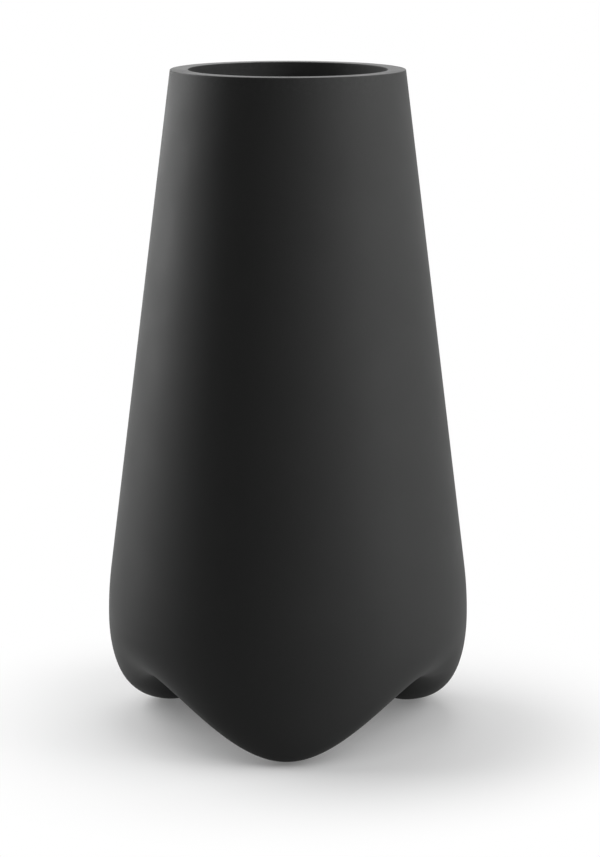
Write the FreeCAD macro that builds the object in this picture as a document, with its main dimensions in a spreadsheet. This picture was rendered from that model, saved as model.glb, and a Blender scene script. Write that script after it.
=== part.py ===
import FreeCAD, Part
import math
import os
import Sketcher

# Tall cone planter: a hollow moulded shell on three lobed feet, with a lift-out liner hung in its mouth.
# The origin is on the floor under the middle of the planter, +Z is up and the front foot points to -Y.
# Lengths are in millimetres and angles in degrees. Fullness and ease values are plain ratios.

# Azimuth of each foot, turned from the front
FEET = {"front": 0, "rear_right": 120, "rear_left": 240}

# Points in each closed ring of the moulded skin
RING_POINTS = 36

# Handle length, in radii, of the cubic curve that stands in for a quarter circle
QUARTER_HANDLE = 0.5523

# Rings of holes in the drain grid, and how often their first sector is repeated
GRID_RINGS = 3
GRID_SECTORS = 6

SIZES = {
    # Shell, outside
    "height": 1000,
    "rim_diameter": 350,
    "rim_width": 27,
    "rim_edge_radius": 1.2,
    "belly_diameter": 550,
    "belly_height": 172,
    "belly_blend_radius": 590,
    "foot_circle_diameter": 423,
    "foot_fullness": 0.805,
    "arch_circle_diameter": 478,
    "arch_height": 112,
    "arch_fullness": 0.592,
    "underside_height": 108,
    "underside_disc_diameter": 120,
    "underside_ease": 0.5,
    # Shell, walls and the return lip
    "wall": 6,
    "floor_wall": 8,
    "lip_wall": 6,
    "mouth_land": 26,
    "lip_taper": 1.5,
    "ledge_depth": 46,
    "ledge_width": 10,
    "lip_return": 14,
    # Foot pads
    "toe_height": 0.5,
    "pad_diameter": 20,
    "pad_seat_depth": 3,
    "pad_clearance": 0.3,
    "pad_chamfer": 0.8,
    "stem_diameter": 10,
    "stem_clearance": 0.2,
    "head_diameter": 16,
    "head_height": 5,
    "head_clearance": 0.5,
    "head_seat_depth": 0.5,
    # Drain plug of the shell and its washer
    "drain_diameter": 40,
    "drain_flange_diameter": 56,
    "drain_seal_thickness": 2,
    # Stopper of the liner
    "stopper_diameter": 24,
    "stopper_flange_diameter": 36,
    # What both plugs share
    "plug_flange": 4,
    "plug_wall": 3,
    "plug_lead": 3,
    "plug_clearance": 0.3,
    "plug_grip_height": 12,
    "plug_grip_thickness": 5,
    # Liner
    "liner_depth": 340,
    "liner_wall": 3,
    "liner_floor": 4,
    "liner_draft": 4,
    "liner_flange": 4,
    "liner_flange_clearance": 3,
    "liner_wall_clearance": 5,
    "liner_step_height": 42,
    "liner_step_width": 6,
    "liner_edge_radius": 1.5,
    # Drain grid
    "grid_thickness": 4,
    "grid_clearance": 1,
    "grid_hole_diameter": 9,
    "grid_first_ring": 32,
    "grid_ring_pitch": 25,
    "grid_neck_diameter": 10,
    "grid_neck_height": 14,
    "grid_knob_diameter": 22,
    "grid_knob_height": 8,
    # Folding handles and their ears
    "handle_width": 7,
    "handle_thickness": 5,
    "handle_lift": 0.3,
    "handle_offset": 8,
    "handle_edge_radius": 1,
    "ear_thickness": 5,
    "ear_width": 34,
    "ear_height": 13,
    "ear_edge_radius": 5,
    "ear_clearance": 0.6,
    "pivot_clearance": 0.1,
    "pivot_recess": 0.5,
}

# Expressions that several pieces share
BORE_RADIUS = "(Sizes.rim_diameter / 2 - Sizes.rim_width)"
POCKET_RADIUS = f"({BORE_RADIUS} - Sizes.lip_taper)"
LEDGE_RADIUS = f"({POCKET_RADIUS} - Sizes.ledge_width)"
LEDGE_Z = "(Sizes.height - Sizes.ledge_depth)"
LIP_BOTTOM = f"({LEDGE_Z} - Sizes.lip_wall - Sizes.lip_return)"
FOOT_RADIUS = "(Sizes.foot_circle_diameter / 2)"
PAD_TOP = "(Sizes.toe_height + Sizes.pad_seat_depth)"
STEM_TOP = "(Sizes.toe_height + Sizes.floor_wall - Sizes.head_seat_depth)"
HEAD_TOP = f"({STEM_TOP} + Sizes.head_height)"
LINER_Z = f"({LEDGE_Z} - Sizes.liner_depth)"
LINER_TOP = "(Sizes.liner_depth + Sizes.liner_flange)"
LINER_RADIUS = f"({LEDGE_RADIUS} - Sizes.liner_wall_clearance)"
LINER_FLANGE_RADIUS = f"({POCKET_RADIUS} - Sizes.liner_flange_clearance)"
GRID_SEAT = "(Sizes.liner_step_height + Sizes.liner_wall)"
EAR_INNER = f"({LINER_RADIUS} - Sizes.liner_wall)"
EAR_OUTER = f"({EAR_INNER} + Sizes.ear_thickness)"
EAR_SWEEP = "sqrt((Sizes.ear_width / 2 - Sizes.handle_offset) ^ 2 + Sizes.ear_height ^ 2)"
HANDLE_INNER = f"sqrt(({EAR_OUTER} + Sizes.ear_clearance) ^ 2 + (Sizes.handle_offset + {EAR_SWEEP}) ^ 2)"
HANDLE_OUTER = f"({HANDLE_INNER} + Sizes.handle_width)"
PIVOT_RADIUS = "(Sizes.handle_thickness / 2)"
PIVOT_Z = f"({LINER_TOP} + Sizes.handle_lift + {PIVOT_RADIUS})"


def liner_radius(level):
    """Expression for the outer radius of the liner's tapered wall at a level above its floor."""
    return f"({LINER_RADIUS} - (Sizes.liner_depth - {level}) * tan(Sizes.liner_draft))"


def make_sheet(doc):
    """Spreadsheet of the driving sizes, one row each: the name, and the value under an alias."""
    sheet = doc.addObject("Spreadsheet::Sheet", "Sizes")
    for row, (alias, value) in enumerate(SIZES.items(), start=1):
        sheet.set(f"A{row}", alias)
        sheet.set(f"B{row}", str(value))
        sheet.setAlias(f"B{row}", alias)
    doc.recompute()
    return sheet


# The moulded skin of the shell

def mix(low, high, share):
    """Value at a share of the way from low to high."""
    return low + (high - low) * share


def section_point(radius, level):
    """Point of a section through the axis: x is the radius and z the level."""
    return FreeCAD.Vector(radius, 0, level)


def wall_section(size, azimuth, wall, floor):
    """Section of the shell at one azimuth, from the rim to the disc underneath, as spans of four poles.

    A straight cone meets a large arc at the belly. Below it the wall turns under in one full curve and
    runs back to the middle in another. Over a foot they reach down to the toe, and over an arch they stay
    at its height, with a cosine wave in between. The section is set in by wall, and by floor underneath.
    """
    foot = (1 + math.cos(len(FEET) * azimuth)) / 2
    blend = size["belly_blend_radius"]
    belly = section_point(size["belly_diameter"] / 2 - wall, size["belly_height"])
    centre = section_point(size["belly_diameter"] / 2 - blend, size["belly_height"])
    rim = section_point(size["rim_diameter"] / 2, size["height"])
    to_rim = rim - centre
    lean = math.atan2(to_rim.z, to_rim.x) - math.acos(blend / to_rim.Length)
    down = section_point(math.sin(lean), -math.cos(lean))
    tangent = centre + section_point(math.cos(lean), math.sin(lean)) * (blend - wall)

    spans = []
    if wall == 0:
        edge = size["rim_edge_radius"]
        inward = section_point(-1, 0)
        top = rim + down * edge
        handle = edge * (1 - QUARTER_HANDLE)
        spans.append([rim + inward * edge, rim + inward * handle, rim + down * handle, top])
    else:
        top = tangent - down * ((size["height"] - wall - tangent.z) / math.cos(lean))
    spans.append([top + (tangent - top) * (step / 3) for step in range(4)])

    handle = 4 / 3 * math.tan(lean / 4) * (blend - wall)
    spans.append([tangent, tangent + down * handle, belly + section_point(0, handle), belly])

    toe_radius = mix(size["arch_circle_diameter"], size["foot_circle_diameter"], foot) / 2
    toe = section_point(toe_radius, mix(size["arch_height"], size["toe_height"], foot) + floor)
    full = mix(size["arch_fullness"], size["foot_fullness"], foot)
    corner_above = section_point(belly.x, mix(belly.z, toe.z, full))
    corner_below = section_point(mix(toe.x, belly.x, full), toe.z)
    spans.append([belly, corner_above, corner_below, toe])

    disc = section_point(size["underside_disc_diameter"] / 2, size["underside_height"] + floor)
    reach = section_point((toe.x - disc.x) * size["underside_ease"], 0)
    spans.append([toe, toe - reach, disc + reach, disc])
    return spans


def closed_ring(points):
    """Smooth closed curve through points spaced evenly round the axis."""
    curve = Part.BSplineCurve()
    stations = [float(station) for station in range(len(points) + 1)]
    curve.interpolate(Points=points, PeriodicFlag=True, Parameters=stations)
    return curve


def ring_face(rings):
    """Face that runs round the axis on four rings of poles, cubic both ways."""
    first = rings[0]
    net = [list(column) for column in zip(*(ring.getPoles() for ring in rings))]
    surface = Part.BSplineSurface()
    surface.buildFromPolesMultsKnots(
        net, first.getMultiplicities(), [4, 4], first.getKnots(), [0.0, 1.0], True, False, 3, 3)
    return surface.toShape()


def skin_solid(size, wall, floor):
    """Solid bounded by one skin of the shell, with a flat disc at the rim and one underneath."""
    azimuths = [math.pi + 2 * math.pi * step / RING_POINTS for step in range(RING_POINTS)]
    sections = [wall_section(size, azimuth, wall, floor) for azimuth in azimuths]

    def ring(span, pole):
        poles = [section[span][pole] for section in sections]
        return closed_ring([
            FreeCAD.Vector(point.x * math.sin(azimuth), -point.x * math.cos(azimuth), point.z)
            for point, azimuth in zip(poles, azimuths)])

    faces = [ring_face([ring(span, pole) for pole in range(4)]) for span in range(len(sections[0]))]
    for end in (ring(0, 0), ring(-1, -1)):
        faces.append(Part.Face(Part.Wire(end.toShape())))
    skin = Part.Compound(faces)
    skin.sewShape()
    solid = Part.Solid(skin.Shells[0])
    if solid.Volume < 0:
        solid.reverse()
    return solid


# Sketches and features

def new_body(doc, label):
    """Empty body whose label names its file."""
    body = doc.addObject("PartDesign::Body", label)
    body.Label = label
    return body


def origin_feature(body, role):
    """Origin plane or axis of a body."""
    return next(feature for feature in body.Origin.OriginFeatures if feature.Role == role)


def bind(item, **expressions):
    """Bind properties of an object to expressions of the sheet."""
    for name, expression in expressions.items():
        item.setExpression(name, expression)


def place(item, x="0", y="0", z="0"):
    """Bind the position of a placement to expressions."""
    for axis, expression in zip("xyz", (x, y, z)):
        item.setExpression(f"Placement.Base.{axis}", expression)


def new_sketch(body, plane, name, offset=None):
    """Sketch on an origin plane of its body, moved along the plane's normal by an expression."""
    sketch = body.newObject("Sketcher::SketchObject", name)
    sketch.AttachmentSupport = [(origin_feature(body, plane), "")]
    sketch.MapMode = "FlatFace"
    if offset:
        sketch.setExpression("AttachmentOffset.Base.z", offset)
    return sketch


def hold(sketch, expression, kind, *where):
    """Add a constraint whose value follows an expression."""
    index = sketch.addConstraint(Sketcher.Constraint(kind, *where, 1.0))
    sketch.setExpression(f"Constraints[{index}]", expression)


def hold_point(sketch, curve, end, x, y):
    """Hold a point of a curve at x and y; 0 keeps it on the axis, and a leading minus is left or below."""
    origin = (-1, 1)
    for kind, axis, expression in (("DistanceX", -2, x), ("DistanceY", -1, y)):
        if expression == "0":
            sketch.addConstraint(Sketcher.Constraint("PointOnObject", curve, end, axis))
        elif expression.startswith("-"):
            hold(sketch, expression[1:], kind, curve, end, *origin)
        else:
            hold(sketch, expression, kind, *origin, curve, end)


def draw_outline(sketch, corners):
    """Closed outline of straight runs. The corners start on a circle, and expressions then hold them."""
    count = len(corners)
    turns = [2 * math.pi * step / count for step in range(count)]
    start = [FreeCAD.Vector(math.cos(turn), math.sin(turn), 0) for turn in turns]
    for step in range(count):
        sketch.addGeometry(Part.LineSegment(start[step], start[(step + 1) % count]), False)
    for step, (x, y) in enumerate(corners):
        sketch.addConstraint(Sketcher.Constraint("Coincident", step, 2, (step + 1) % count, 1))
        hold_point(sketch, step, 1, x, y)


def draw_circle(sketch, diameter, x="0", y="0"):
    """Circle of a diameter about a centre, all as expressions."""
    circle = Part.Circle(FreeCAD.Vector(1, 1, 0), FreeCAD.Vector(0, 0, 1), 1.0)
    curve = sketch.addGeometry(circle, False)
    hold(sketch, diameter, "Diameter", curve)
    hold_point(sketch, curve, 3, x, y)


def revolve(body, kind, name, corners, offset=None):
    """Turn an outline of radii and levels about the vertical axis, as a Revolution or a Groove."""
    sketch = new_sketch(body, "XZ_Plane", f"{name}_outline", offset)
    draw_outline(sketch, corners)
    feature = body.newObject(f"PartDesign::{kind}", name)
    feature.Profile = sketch
    feature.ReferenceAxis = (sketch, ["V_Axis"])
    feature.Angle = 360
    return feature


def pad(body, sketch, name, length):
    """Raise a sketch along its normal by a length."""
    feature = body.newObject("PartDesign::Pad", name)
    feature.Profile = sketch
    bind(feature, Length=length)
    return feature


def pocket_up(body, sketch, name):
    """Cut a sketch on the level plane upwards through everything."""
    feature = body.newObject("PartDesign::Pocket", name)
    feature.Profile = sketch
    feature.Type = "ThroughAll"
    feature.Reversed = True
    return feature


def repeat_round(body, feature, name, count):
    """Repeat a feature evenly round the vertical axis."""
    pattern = body.newObject("PartDesign::PolarPattern", name)
    pattern.Originals = [feature]
    pattern.Axis = (origin_feature(body, "Z_Axis"), [""])
    pattern.Angle = 360
    pattern.Occurrences = count
    body.Tip = pattern
    return pattern


def mirror(body, feature, name, plane):
    """Mirror a feature in an origin plane."""
    mirrored = body.newObject("PartDesign::Mirrored", name)
    mirrored.Originals = [feature]
    mirrored.MirrorPlane = (origin_feature(body, plane), [""])
    body.Tip = mirrored
    return mirrored


def round_edges(body, name, radius, chosen):
    """Fillet the edges of the body so far that the test picks out."""
    body.Document.recompute()
    base = body.Tip
    edges = [f"Edge{number}" for number, edge in enumerate(base.Shape.Edges, start=1) if chosen(edge)]
    if not edges:
        raise RuntimeError(f"{name} finds no edge")
    feature = body.newObject("PartDesign::Fillet", name)
    feature.Base = (base, edges)
    bind(feature, Radius=radius)
    return feature


def expect_open(body, x, y, z):
    """Stop unless the last cut has left a point of the body empty."""
    body.Document.recompute()
    if body.Shape.isInside(FreeCAD.Vector(x, y, z), 1e-6, False):
        raise RuntimeError(f"{body.Tip.Label} cuts nothing from {body.Label}")


def near(first, second):
    """Whether two lengths are the same to a hundredth of a millimetre."""
    return abs(first - second) < 0.01


def is_arc(edge):
    """Whether an edge is a circle or part of one."""
    return edge.Curve.TypeId == "Part::GeomCircle"


def is_circle_at(edge, radius, level):
    """Whether an edge is a level circle of a radius at a level."""
    return is_arc(edge) and near(edge.Curve.Radius, radius) and near(edge.BoundBox.ZMin, level)


# The pieces

def make_outer_shell(doc, size):
    """Hollow shell: the space between two skins, with a return lip, a drain hole and a seat in each toe."""
    outer = doc.addObject("Part::Feature", "outer_form")
    outer.Shape = skin_solid(size, 0, 0)
    inner = doc.addObject("Part::Feature", "inner_form")
    inner.Shape = skin_solid(size, size["wall"], size["floor_wall"])
    hollow = doc.addObject("Part::Cut", "hollow_form")
    hollow.Base = outer
    hollow.Tool = inner
    doc.recompute()

    body = new_body(doc, "outer_shell")
    body.BaseFeature = hollow
    lip_inner = f"{LEDGE_RADIUS} - Sizes.lip_wall"
    lip_outer = f"{BORE_RADIUS} + Sizes.lip_wall"
    lip_top = "Sizes.height - Sizes.wall / 2"
    ledge_bottom = f"{LEDGE_Z} - Sizes.lip_wall"
    return_outer = f"{LEDGE_RADIUS} + Sizes.lip_wall"
    revolve(body, "Revolution", "lip", [
        (lip_inner, lip_top), (lip_outer, lip_top), (lip_outer, ledge_bottom),
        (return_outer, ledge_bottom), (return_outer, LIP_BOTTOM), (lip_inner, LIP_BOTTOM)])
    above = "Sizes.height + Sizes.wall"
    below = f"{LIP_BOTTOM} - Sizes.wall"
    revolve(body, "Groove", "mouth", [
        ("0", above), (BORE_RADIUS, above), (BORE_RADIUS, "Sizes.height - Sizes.mouth_land"),
        (POCKET_RADIUS, LEDGE_Z), (LEDGE_RADIUS, LEDGE_Z), (LEDGE_RADIUS, below), ("0", below)])
    expect_open(body, 0, 0, size["height"] - size["wall"] / 2)

    drain = new_sketch(body, "XY_Plane", "drain_circle")
    draw_circle(drain, "Sizes.drain_diameter")
    pocket_up(body, drain, "drain_hole")
    expect_open(body, 0, 0, size["underside_height"] + size["floor_wall"] / 2)

    pad_radius = "Sizes.pad_diameter / 2 + Sizes.pad_clearance"
    stem_radius = "Sizes.stem_diameter / 2 + Sizes.stem_clearance"
    head_radius = "Sizes.head_diameter / 2 + Sizes.head_clearance"
    seat = revolve(body, "Groove", "pad_seat", [
        ("0", "0"), (pad_radius, "0"), (pad_radius, PAD_TOP), (stem_radius, PAD_TOP),
        (stem_radius, STEM_TOP), (head_radius, STEM_TOP), (head_radius, HEAD_TOP), ("0", HEAD_TOP)],
        FOOT_RADIUS)
    repeat_round(body, seat, "pad_seats", len(FEET))
    foot_radius = size["foot_circle_diameter"] / 2
    for azimuth in map(math.radians, FEET.values()):
        expect_open(body, foot_radius * math.sin(azimuth), -foot_radius * math.cos(azimuth),
                    size["toe_height"] + size["pad_seat_depth"] / 2)

    bore = size["rim_diameter"] / 2 - size["rim_width"]
    round_edges(body, "mouth_edge", "Sizes.rim_edge_radius",
                lambda edge: is_circle_at(edge, bore, size["height"]))
    return body


def make_foot_pad(doc, name, azimuth):
    """Rubber pad whose stem is pushed through the toe, with a tapered head that holds it inside."""
    body = new_body(doc, f"foot_pad_{name}")
    pad_radius = "Sizes.pad_diameter / 2"
    stem_radius = "Sizes.stem_diameter / 2"
    revolve(body, "Revolution", "pad", [
        ("0", "0"), (f"{pad_radius} - Sizes.pad_chamfer", "0"), (pad_radius, "Sizes.pad_chamfer"),
        (pad_radius, PAD_TOP), (stem_radius, PAD_TOP), (stem_radius, STEM_TOP),
        ("Sizes.head_diameter / 2", STEM_TOP), (stem_radius, HEAD_TOP), ("0", HEAD_TOP)])
    place(body, f"{FOOT_RADIUS} * sin({azimuth})", f"-{FOOT_RADIUS} * cos({azimuth})")
    return body


def make_plug(doc, label, hole, flange, gap, floor, seat_z):
    """Push-in plug: a hollow barrel in a floor, a flange under it across a gap, and a bar to pull it by."""
    body = new_body(doc, label)
    barrel = f"({hole} / 2 - Sizes.plug_clearance)"
    flange_bottom = "Sizes.plug_grip_height"
    flange_top = "(Sizes.plug_grip_height + Sizes.plug_flange)"
    barrel_top = f"({flange_top} + {gap} + {floor} + Sizes.plug_lead)"
    core = f"{barrel} - Sizes.plug_wall"
    revolve(body, "Revolution", "barrel", [
        ("0", flange_bottom), (f"{flange} / 2", flange_bottom), (f"{flange} / 2", flange_top),
        (barrel, flange_top), (barrel, f"{barrel_top} - Sizes.plug_lead"),
        (f"{barrel} - Sizes.plug_lead / 2", barrel_top), (core, barrel_top), (core, flange_top),
        ("0", flange_top)])
    half_length = f"{hole} / 2"
    half_thickness = "Sizes.plug_grip_thickness / 2"
    bar = new_sketch(body, "XY_Plane", "grip_outline")
    draw_outline(bar, [
        (f"-{half_length}", f"-{half_thickness}"), (half_length, f"-{half_thickness}"),
        (half_length, half_thickness), (f"-{half_length}", half_thickness)])
    pad(body, bar, "grip", f"{flange_bottom} + Sizes.plug_flange / 2")
    place(body, z=f"{seat_z} - {gap} - {flange_top}")
    return body


def make_drain_seal(doc):
    """Flat rubber washer on the flange of the drain plug."""
    body = new_body(doc, "drain_seal")
    ring = new_sketch(body, "XY_Plane", "ring")
    draw_circle(ring, "Sizes.drain_diameter")
    draw_circle(ring, "Sizes.drain_flange_diameter")
    pad(body, ring, "washer", "Sizes.drain_seal_thickness")
    place(body, z="Sizes.underside_height - Sizes.drain_seal_thickness")
    return body


def make_liner(doc, size):
    """Tapered insert with a step for the grid, a flange that hangs on the ledge, and two pivot ears."""
    body = new_body(doc, "liner")
    step = "Sizes.liner_step_height"
    lower_wall = "Sizes.liner_step_width + Sizes.liner_wall"
    revolve(body, "Revolution", "vessel", [
        ("0", "0"), (f"{liner_radius('0')} - Sizes.liner_step_width", "0"),
        (f"{liner_radius(step)} - Sizes.liner_step_width", step), (liner_radius(step), step),
        (LINER_RADIUS, "Sizes.liner_depth"), (LINER_FLANGE_RADIUS, "Sizes.liner_depth"),
        (LINER_FLANGE_RADIUS, LINER_TOP), (EAR_INNER, LINER_TOP), (EAR_INNER, "Sizes.liner_depth"),
        (f"{liner_radius(GRID_SEAT)} - Sizes.liner_wall", GRID_SEAT),
        (f"{liner_radius(GRID_SEAT)} - ({lower_wall})", GRID_SEAT),
        (f"{liner_radius('Sizes.liner_floor')} - ({lower_wall})", "Sizes.liner_floor"),
        ("0", "Sizes.liner_floor")])
    hole = new_sketch(body, "XY_Plane", "stopper_circle")
    draw_circle(hole, "Sizes.stopper_diameter")
    pocket_up(body, hole, "stopper_hole")
    expect_open(body, 0, 0, size["liner_floor"] / 2)

    pocket_radius = size["rim_diameter"] / 2 - size["rim_width"] - size["lip_taper"]
    flange_radius = pocket_radius - size["liner_flange_clearance"]
    flange_top = size["liner_depth"] + size["liner_flange"]
    round_edges(body, "flange_edge", "Sizes.liner_edge_radius",
                lambda edge: is_circle_at(edge, flange_radius, flange_top))

    ear = new_sketch(body, "YZ_Plane", "ear_outline", EAR_INNER)
    half = "Sizes.ear_width / 2"
    slope = f"{half} - Sizes.ear_edge_radius"
    foot = f"{LINER_TOP} - Sizes.liner_flange / 2"
    top = f"{LINER_TOP} + Sizes.ear_height"
    shoulder = f"{top} - Sizes.ear_edge_radius"
    draw_outline(ear, [
        (f"-{half}", foot), (half, foot), (half, shoulder), (slope, top),
        (f"-({slope})", top), (f"-{half}", shoulder)])
    for side in ("", "-"):
        draw_circle(ear, f"2 * ({PIVOT_RADIUS} + Sizes.pivot_clearance)",
                    f"{side}Sizes.handle_offset", PIVOT_Z)
    ear_pad = pad(body, ear, "ear", "Sizes.ear_thickness")
    mirror(body, ear_pad, "ears", "YZ_Plane")
    place(body, z=LINER_Z)
    return body


def make_liner_grid(doc, size):
    """Perforated plate on the step of the liner, with a knob to lift it by."""
    body = new_body(doc, "liner_grid")
    rim = f"{liner_radius(GRID_SEAT)} - Sizes.liner_wall - Sizes.grid_clearance"
    plate = "Sizes.grid_thickness"
    neck = "Sizes.grid_neck_diameter / 2"
    knob = "Sizes.grid_knob_diameter / 2"
    neck_top = "Sizes.grid_thickness + Sizes.grid_neck_height"
    knob_top = f"{neck_top} + Sizes.grid_knob_height"
    revolve(body, "Revolution", "plate", [
        ("0", "0"), (rim, "0"), (rim, plate), (neck, plate), (neck, neck_top),
        (knob, neck_top), (knob, knob_top), ("0", knob_top)])
    holes = new_sketch(body, "XY_Plane", "hole_circles")
    sector = 360 / GRID_SECTORS
    for ring in range(GRID_RINGS):
        radius = f"(Sizes.grid_first_ring + {ring} * Sizes.grid_ring_pitch)"
        draw_circle(holes, "Sizes.grid_hole_diameter", radius)
        for step in range(1, ring + 1):
            turn = sector * step / (ring + 1)
            draw_circle(holes, "Sizes.grid_hole_diameter",
                        f"{radius} * cos({turn})", f"{radius} * sin({turn})")
    first_holes = pocket_up(body, holes, "first_holes")
    repeat_round(body, first_holes, "holes", GRID_SECTORS)
    for side in (1, -1):
        expect_open(body, side * size["grid_first_ring"], 0, size["grid_thickness"] / 2)
    place(body, z=f"{LINER_Z} + {GRID_SEAT}")
    return body


def make_handle(doc, label, turn):
    """Flat bail that bows round the mouth of the liner, clear of the ears as it folds, with two end pivots."""
    body = new_body(doc, label)
    half = "Sizes.handle_thickness / 2"
    bow = revolve(body, "Revolution", "bow", [
        (HANDLE_INNER, f"-{half}"), (HANDLE_OUTER, f"-{half}"), (HANDLE_OUTER, half), (HANDLE_INNER, half)])
    bow.Midplane = True
    bind(bow, Angle=f"2 * acos(2 * Sizes.handle_offset / ({HANDLE_INNER} + {HANDLE_OUTER}))")
    round_edges(body, "bow_edges", "Sizes.handle_edge_radius", is_arc)

    pin = body.newObject("PartDesign::AdditiveCylinder", "pivot")
    pin.Placement.Rotation = FreeCAD.Rotation(FreeCAD.Vector(1, 0, 0), -90)
    pin_start = f"({EAR_INNER} + Sizes.pivot_recess)"
    pin_end = f"sqrt({HANDLE_OUTER} ^ 2 - Sizes.handle_offset ^ 2)"
    bind(pin, Radius=PIVOT_RADIUS, Height=f"{pin_end} - {pin_start}")
    place(pin, "Sizes.handle_offset", pin_start)
    mirror(body, pin, "pivots", "XZ_Plane")
    body.Placement.Rotation = FreeCAD.Rotation(FreeCAD.Vector(0, 0, 1), turn)
    place(body, z=f"{LINER_Z} + {PIVOT_Z}")
    return body


def check(doc, pieces):
    """Stop if any object failed, or a piece is missing, broken or not one solid."""
    for item in doc.Objects:
        if "Invalid" in item.State or "Error" in item.State:
            raise RuntimeError(f"{item.Label} failed: {item.State}")
    for piece in pieces:
        shape = piece.Shape
        if shape.isNull() or not shape.isValid() or len(shape.Solids) != 1:
            raise RuntimeError(f"{piece.Label} is not one valid solid")


def main():
    doc = FreeCAD.newDocument("cone_planter")
    sheet = make_sheet(doc)
    size = {alias: float(sheet.get(alias)) for alias in SIZES}
    pieces = [make_outer_shell(doc, size)]
    pieces += [make_foot_pad(doc, name, azimuth) for name, azimuth in FEET.items()]
    pieces.append(make_plug(
        doc, "drain_plug", "Sizes.drain_diameter", "Sizes.drain_flange_diameter",
        "Sizes.drain_seal_thickness", "Sizes.floor_wall", "Sizes.underside_height"))
    pieces.append(make_drain_seal(doc))
    pieces.append(make_liner(doc, size))
    pieces.append(make_liner_grid(doc, size))
    pieces.append(make_plug(
        doc, "liner_plug", "Sizes.stopper_diameter", "Sizes.stopper_flange_diameter",
        "0", "Sizes.liner_floor", LINER_Z))
    pieces.append(make_handle(doc, "handle_front", -90))
    pieces.append(make_handle(doc, "handle_rear", 90))
    doc.recompute()
    check(doc, pieces)
    os.makedirs("parts", exist_ok=True)
    for piece in pieces:
        piece.Shape.exportStep(f"parts/{piece.Label}.step")
        box = piece.Shape.BoundBox
        print(f"{piece.Label}: {piece.Shape.Volume / 1000:.1f} cm3, x {box.XMin:.1f} to {box.XMax:.1f}, "
              f"y {box.YMin:.1f} to {box.YMax:.1f}, z {box.ZMin:.1f} to {box.ZMax:.1f}")


main()
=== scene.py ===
import math

import bpy
import numpy as np
from bpy.props import FloatProperty, FloatVectorProperty, IntProperty, PointerProperty
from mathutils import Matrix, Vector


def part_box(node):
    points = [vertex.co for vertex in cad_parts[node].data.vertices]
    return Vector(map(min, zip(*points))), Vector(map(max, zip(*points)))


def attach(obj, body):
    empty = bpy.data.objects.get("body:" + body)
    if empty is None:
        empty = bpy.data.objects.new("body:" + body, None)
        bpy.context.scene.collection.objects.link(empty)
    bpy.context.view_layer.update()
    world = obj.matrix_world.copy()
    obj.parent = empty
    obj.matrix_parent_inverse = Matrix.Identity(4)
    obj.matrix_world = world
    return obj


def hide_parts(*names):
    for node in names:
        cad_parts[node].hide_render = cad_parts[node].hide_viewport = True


bl_info = {
    "name": "Tall cone planter",
    "version": (1, 0, 0),
    "blender": (4, 5, 0),
    "location": "View3D > Sidebar > Planter",
    "description": "Moulded surfaces, finishes and a studio stage for the packed planter",
    "category": "Object",
}

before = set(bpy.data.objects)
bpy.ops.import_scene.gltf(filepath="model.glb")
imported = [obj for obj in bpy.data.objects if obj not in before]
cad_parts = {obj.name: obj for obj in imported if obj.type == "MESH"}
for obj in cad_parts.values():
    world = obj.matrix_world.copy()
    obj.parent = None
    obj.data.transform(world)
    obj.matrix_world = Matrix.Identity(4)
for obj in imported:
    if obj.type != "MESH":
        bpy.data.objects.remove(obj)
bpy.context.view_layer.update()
SHELL_LOW, SHELL_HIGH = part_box("outer_shell")
LINER_LOW, LINER_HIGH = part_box("liner")

FEET = ("foot_pad_front", "foot_pad_rear_right", "foot_pad_rear_left")
HANDLES = {"handle_front": ("front_handle", -1.0), "handle_rear": ("rear_handle", 1.0)}
INSIDE_PIECES = ("liner_moulding", "liner_plug_rubber", "handle_front_bail", "handle_rear_bail")
HANDS = (-1.0, 1.0)

# Handle length, in radii, of the cubic curve that stands in for a quarter circle
QUARTER_HANDLE = 0.5523

# Order of a slab's outline and thickness along X, Y and Z
THICK_ALONG_X = [2, 0, 1]
THICK_ALONG_Y = [0, 2, 1]

# Inset of the flat part of a slab's face, in radii of its edge
SLAB_FACE_INSET = 1.3

# Points round the pieces and the floor
PAD_COLUMNS = 64
PLUG_COLUMNS = 96
LINER_COLUMNS = 192
HANDLE_COLUMNS = 32
FLOOR_COLUMNS = 96

# Steps of a skin along the rim's edge, the cone, the blend, the turn under and the underside
OUTER_STEPS = (6, 20, 20, 36, 30)
INNER_STEPS = (0, 12, 14, 26, 24)

# Power that keeps the crown's own form close to the middle of an arch
CROWN_POWER = 3

# Rounding of corners in metres, in the order in which a section or an outline meets them
DRAIN_ROUNDING = (0.0012, 0.0012)
LIP_ROUNDING = (0.002, 0.003, 0.002, 0.0015, 0.0015, 0.0015, 0.001, 0.02)
PAD_GROOVE_ROUNDING = (0.0004, 0.0003, 0.0003, 0.0004)
PAD_STEM_ROUNDING = (0.0005, 0.0005, 0.0005, 0.0008, 0.0008)
PIN_ROUNDING = (0.0006, 0.0006)
PLUG_ROUNDING = (0.0010, 0.0008, 0.0004, 0.0010, 0.0004, 0.0004, 0.0010)
GRIP_ROUNDING = (0.004, 0.0005, 0.0005, 0.004)
SEAL_ROUNDING = (0.0006, 0.0006, 0.0006, 0.0006)
LINER_ROUNDING = (
    0.003, 0.001, 0.0015, 0.001, 0.0008, 0.0015, 0.0012, 0.005, 0.002, 0.001, 0.003, 0.0006, 0.0006)
EAR_ROUNDING = (0.0005, 0.004, 0.004, 0.004, 0.004, 0.0005)

# Rounding of the edges of the plates
GRIP_EDGE = 0.0012
EAR_EDGE = 0.001

# Radius of the innermost ring of points on a solid turned piece and on a pin
HUB = 0.002
PIN_HUB = 0.0004

# Groove under a pad: its four radii as shares of the pad's, and its depth
PAD_GROOVE = (0.5, 0.54, 0.66, 0.70)
PAD_GROOVE_DEPTH = 0.0008

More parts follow.
